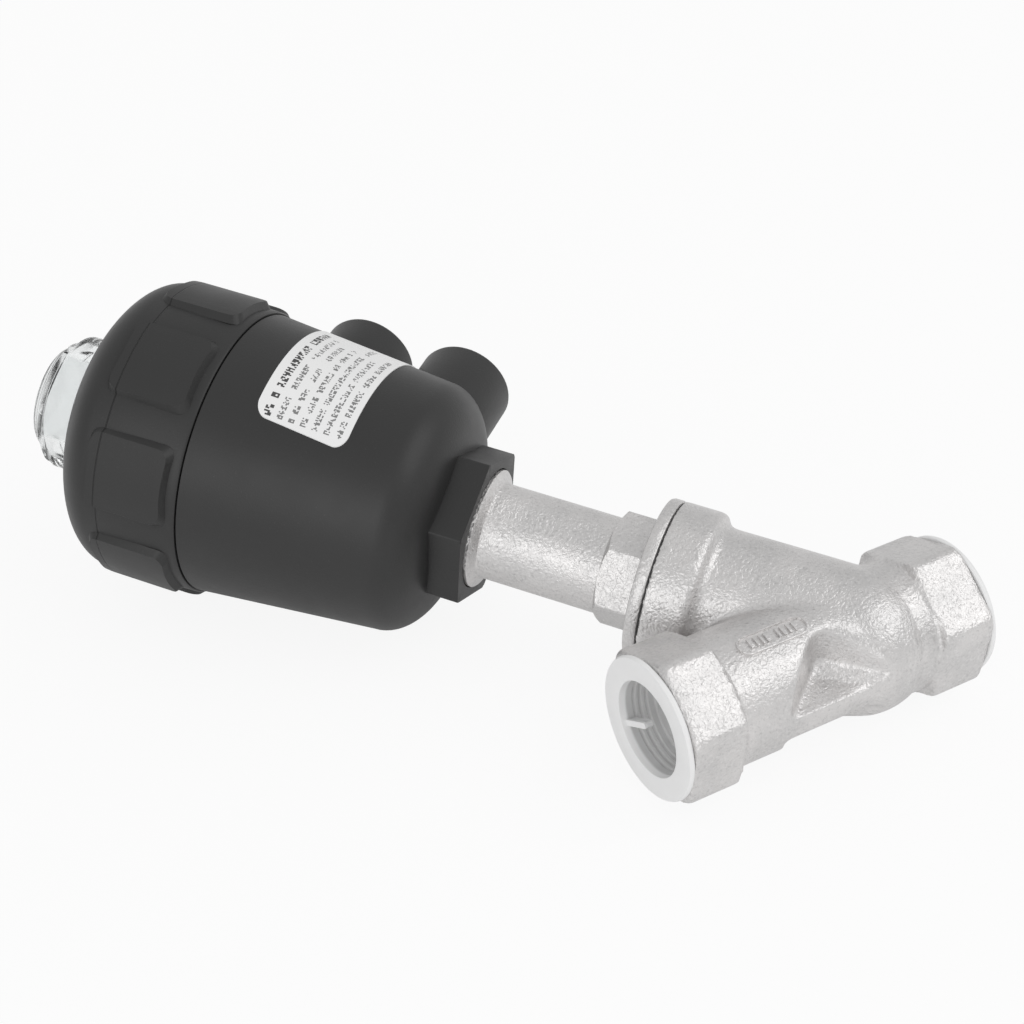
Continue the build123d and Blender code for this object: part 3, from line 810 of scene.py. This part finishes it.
def cover():
    """Domed cover with eight grip pads and the threaded recess for the clear cap."""
    profile = [(31.65, 153), (34.9, 153), (35.2, 153.5), *arc((0, 176.5), (35.9, 15), 0, 62, 24), (16.9, CAP_SEAT)]
    profile += [(CAP_THREAD_R, CAP_SEAT), (CAP_THREAD_R, CAP_RECESS), (6, CAP_RECESS), (6, 179.8), (10.3, 179.8)]
    profile += arc((0, 173.5), (31.6, 12.2), 71, 0)
    shape = combined(lathe(profile, STEM, 128), ("UNION", grip_pads()))
    piece = piece_from(shape, "domed_cover", "actuator_plastic", "actuator")
    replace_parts(piece, "actuator_cover")


def clear_cap():
    """Clear screw-in cap: threaded spigot, thick round skirt and a low head with six finger facets."""
    spigot_r, edge = CAP_THREAD_R - 0.05, 0.3
    spigot = [(0, 186.6), (spigot_r, 186.6), (spigot_r, 187.4), (12, 187.4), (12, 188.6), (spigot_r, 188.6)]
    spigot += [(spigot_r, CAP_SEAT + 0.1)]
    skirt = [(CAP_R - edge, CAP_SEAT + 0.1), (CAP_R, CAP_SEAT + 0.1 + edge)]
    skirt += [(CAP_R, CAP_SHOULDER - edge), (CAP_R - edge, CAP_SHOULDER)]
    head = [(0, 198), (CAP_R, 198), (CAP_R, CAP_SHOULDER), (16.2, 200), (14.8, 201), (13.6, 202)]
    head += [(12.8, CAP_TOP), (0, CAP_TOP)]
    facets = combined(hexagon(29.2, 198, CAP_TOP, 3.0, STEM), ("INTERSECT", lathe(head, STEM)))
    shape = combined(
        lathe([*spigot, *skirt, (0, CAP_SHOULDER)], STEM),
        ("UNION", facets),
        ("DIFFERENCE", disc(10.4, 185, 200.6, STEM)),
    )
    piece = piece_from(shape, "clear_cap", "clear_plastic", "actuator")
    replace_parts(piece, "indicator_cap")
    seal = lathe(arc((12.58, 188.0), (0.52, 0.52), 0, 345, 23), STEM)
    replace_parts(piece_from(seal, "cap_seal", "seal_rubber", "actuator"), "cap_o_ring")


def spindle():
    """Rod that carries the stem's travel up into the clear cap."""
    profile = [(0, 187.6), (4.6, 187.6), (5.4, 186.8), (5.4, 181.4), (4, 180.4), (4, 150), (6.2, 148), (6.2, 131.6)]
    profile += [(4.06, 131.6), (4.06, 140.05), (0, 140.05)]
    piece = piece_from(lathe(profile, STEM), "travel_spindle", "indicator_plastic", "stem_group")
    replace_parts(piece, "indicator_spindle")


def coil_spring(node, name, mean_r, wire_r, high, turns):
    """Open coil spring round the stem, from the piston to the cover."""
    low = 125.0
    pitch = (high - low - 2 * wire_r) / turns * MM
    steps = int(turns * 40)
    maker = bmesh.new()
    section = Matrix.Translation((mean_r * MM, 0, (low + wire_r) * MM)) @ Matrix.Rotation(math.pi / 2, 4, "X")
    bmesh.ops.create_circle(maker, cap_ends=True, segments=14, radius=wire_r * MM, matrix=section)
    bmesh.ops.spin(
        maker,
        geom=[*maker.faces, *maker.edges, *maker.verts],
        cent=(0, 0, 0),
        axis=(0, 0, 1),
        dvec=(0, 0, turns * pitch / steps),
        angle=turns * 2 * math.pi,
        steps=steps,
    )
    spring = piece_from(maker, name, "spring_steel", "actuator", STEM)
    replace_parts(spring, node)
    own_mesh(spring)


def protector(node, name, body, face_at, inwards):
    """Pressed-in thin plastic cup with a flange, outer ribs and a pull tab on its floor."""
    turn = Matrix.Identity(4) if inwards > 0 else Matrix.Rotation(math.pi, 4, "Y")
    place = PIPE @ Matrix.Translation((0, 0, face_at * MM)) @ turn
    profile = [(0, 8.8), (11.0, 8.8), (11.5, 8.6), (11.8, 8.2)]
    for depth in (4.6, 3.0, 1.4):
        profile += [(11.8, depth + 0.6), (12.4, depth + 0.6), (13.15, depth)]
        profile += [(12.4, depth - 0.6), (11.8, depth - 0.6)]
    profile += [(11.8, -0.05), (16.3, -0.05), (16.52, -0.25), (16.6, -0.5), (16.52, -0.9), (16.3, -1.3)]
    profile += [(11.4, -1.3), (11.1, -1.2), (11.0, -0.9)]
    for depth in (2.6, 4.2, 5.8):
        profile += [(11.0, depth - 0.5), (11.25, depth - 0.2), (11.25, depth + 0.2), (11.0, depth + 0.5)]
    profile += [(11.0, 7.6), (10.6, 8.0), (0, 8.0)]
    piece = piece_from(lathe(profile, place, 128), name, "white_plastic", body)
    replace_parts(piece, node)
    tab = bmesh.new()
    bmesh.ops.create_cube(tab, size=1.0)
    rounded = [edge for edge in tab.edges if abs(edge.verts[0].co.z - edge.verts[1].co.z) > 0.5]
    for vert in tab.verts:
        vert.co = Vector((7.3 + vert.co.x * 9.1, vert.co.y * 1.4, 1.0 + vert.co.z * 2.0)) * MM
    bmesh.ops.bevel(tab, geom=rounded, offset=0.65 * MM, segments=4, profile=0.5, affect="EDGES", material=-1)
    piece_from(tab, name + "_tab", "white_plastic", body, place @ Matrix.Rotation(math.radians(141), 4, "Z"))


cast_body()
bonnet()
distance_tube()
housing()
cover()
clear_cap()
spindle()
coil_spring("return_spring_outer", "outer_spring", 19.5, 1.7, 181.8, 5.5)
coil_spring("return_spring_inner", "inner_spring", 12.2, 1.2, 182.6, 7.5)
protector("inlet_protector", "inlet_cup", "inlet_cap", INLET, 1)
protector("outlet_protector", "outlet_cup", "outlet_cap", OUTLET, -1)


def on_tube(point, angle):
    """A point (along the pipe, round the tube, above its wall) from the tube's own flat drawing."""
    turn = angle + point.y / (TUBE_R * MM)
    reach = TUBE_R * MM + point.z
    return PIPE @ Vector((reach * math.sin(turn), -reach * math.cos(turn), point.x))


def cast_plate():
    """Raised stadium outline on the inlet tube with plain raised dashes in place of a size mark."""
    low, high = -35.4 * MM, -17.3 * MM
    half_width, rim = 2.65 * MM, 0.5 * MM
    middle, half_run = (low + high) / 2, (high - low) / 2 - half_width
    plate = bmesh.new()
    bmesh.ops.create_circle(plate, cap_ends=True, segments=30, radius=half_width)
    for vert in plate.verts:
        vert.co.x += math.copysign(half_run, vert.co.x)
    bmesh.ops.inset_region(plate, faces=plate.faces[:], thickness=rim, use_boundary=True, use_even_offset=True)
    inner = max(plate.faces, key=lambda face: len(face.verts))
    bmesh.ops.delete(plate, geom=[inner], context="FACES_ONLY")
    dash_count, dash_pitch = 9, 1.42 * MM
    for number in range(dash_count):
        if number == 4:
            continue
        offset = (number - (dash_count - 1) / 2) * dash_pitch
        width = (0.6 if number % 3 else 0.95) * MM
        shape = Matrix.Translation((offset, 0, 0)) @ Matrix.Diagonal((width, 2.5 * MM, 1, 1))
        bmesh.ops.create_grid(plate, x_segments=1, y_segments=3, size=0.5, matrix=shape)
    raised = bmesh.ops.extrude_face_region(plate, geom=plate.faces[:])
    top = [item for item in raised["geom"] if isinstance(item, bmesh.types.BMVert)]
    bmesh.ops.translate(plate, vec=(0, 0, 0.5 * MM), verts=top)
    lower = [vert for vert in plate.verts if vert.co.z < 0.1 * MM]
    bmesh.ops.translate(plate, vec=(0, 0, -0.4 * MM), verts=lower)
    upper = [edge for edge in plate.edges if min(vert.co.z for vert in edge.verts) > 0.3 * MM]
    edges = [edge for edge in upper if edge.calc_face_angle(0) > 0.6]
    bmesh.ops.bevel(plate, geom=edges, offset=0.12 * MM, segments=2, profile=0.5, affect="EDGES", material=-1)
    for vert in plate.verts:
        vert.co = on_tube(vert.co + Vector((middle, 0, 0)), math.radians(3))
    return piece_from(plate, "cast_plate", "cast_stainless", "body")


cast_plate()


# ---------------------------------------------------------------- studio
WORLD_AS_LIGHT = 0.64
WORLD_IN_GLOSS = 0.62


def studio_floor():
    """Plain pale floor that stays close to white and keeps the valve's shadow."""
    finish = Finish("studio_floor")
    paper = finish.node("BsdfDiffuse", {}, {"Color": grey(0.93)})["BSDF"]
    white = finish.node("Emission", {}, {"Color": grey(1.0), "Strength": 1.0})["Emission"]
    rays = finish.node("LightPath")
    straight = rays["Is Camera Ray"].at_least(rays["Is Transmission Ray"])
    lifted = (straight * 0.9).at_least(rays["Is Glossy Ray"] * 0.3)
    mixed = finish.node("MixShader", {}, {"Fac": lifted, 1: paper, 2: white})["Shader"]
    finish.node("OutputMaterial", {}, {"Surface": mixed})
    floor_maker = bmesh.new()
    bmesh.ops.create_grid(floor_maker, x_segments=1, y_segments=1, size=6.0)
    mesh = bpy.data.meshes.new("studio_floor")
    floor_maker.to_mesh(mesh)
    floor_maker.free()
    mesh.materials.append(finish.material)
    floor = bpy.data.objects.new("studio_floor", mesh)
    bpy.context.scene.collection.objects.link(floor)


def studio_world():
    """White to look at and through, softer as a light and in reflections."""
    world = bpy.data.worlds.new("studio")
    bpy.context.scene.world = world
    world.use_nodes = True
    backdrop = Finish.on(world.node_tree)
    rays = backdrop.node("LightPath")
    straight = rays["Is Camera Ray"].at_least(rays["Is Transmission Ray"])
    strength = straight.at_least(rays["Is Glossy Ray"] * WORLD_IN_GLOSS).at_least(WORLD_AS_LIGHT)
    surface = backdrop.node("Background", {}, {"Color": grey(1.0), "Strength": strength})["Background"]
    backdrop.node("OutputWorld", {}, {"Surface": surface})


def softbox(name, place, target, width, height, level):
    """Rectangular softbox facing the target; level is how bright its face is."""
    lamp = bpy.data.lights.new(name, "AREA")
    lamp.shape = "RECTANGLE"
    lamp.size, lamp.size_y = width, height
    lamp.energy = level * math.pi * width * height
    box = bpy.data.objects.new(name, lamp)
    aim = (Vector(target) - Vector(place)).to_track_quat("-Z", "Y")
    box.matrix_world = Matrix.Translation(place) @ aim.to_matrix().to_4x4()
    bpy.context.scene.collection.objects.link(box)


studio_floor()
studio_world()
softbox("left_box", (-1.15, -0.85, 0.55), (0, 0, 0.03), 1.0, 1.0, 1.1)
softbox("right_box", (0.72, -0.68, 1.0), (0, 0, 0.03), 1.1, 0.9, 1.02)

camera_data = bpy.data.cameras.new("camera")
camera_data.sensor_width = 36.0
camera_data.lens = 73.04
camera = bpy.data.objects.new("camera", camera_data)
camera_place = Matrix.Translation(Vector((232.34, -330.72, -245.51)) * MM)
camera_turn = Euler([math.radians(turn) for turn in (142.626, -59.464, -5.756)], "XYZ")
camera.matrix_world = PIPE @ camera_place @ camera_turn.to_matrix().to_4x4()
bpy.context.scene.collection.objects.link(camera)
bpy.context.scene.camera = camera

bpy.context.scene.view_settings.view_transform = "Standard"
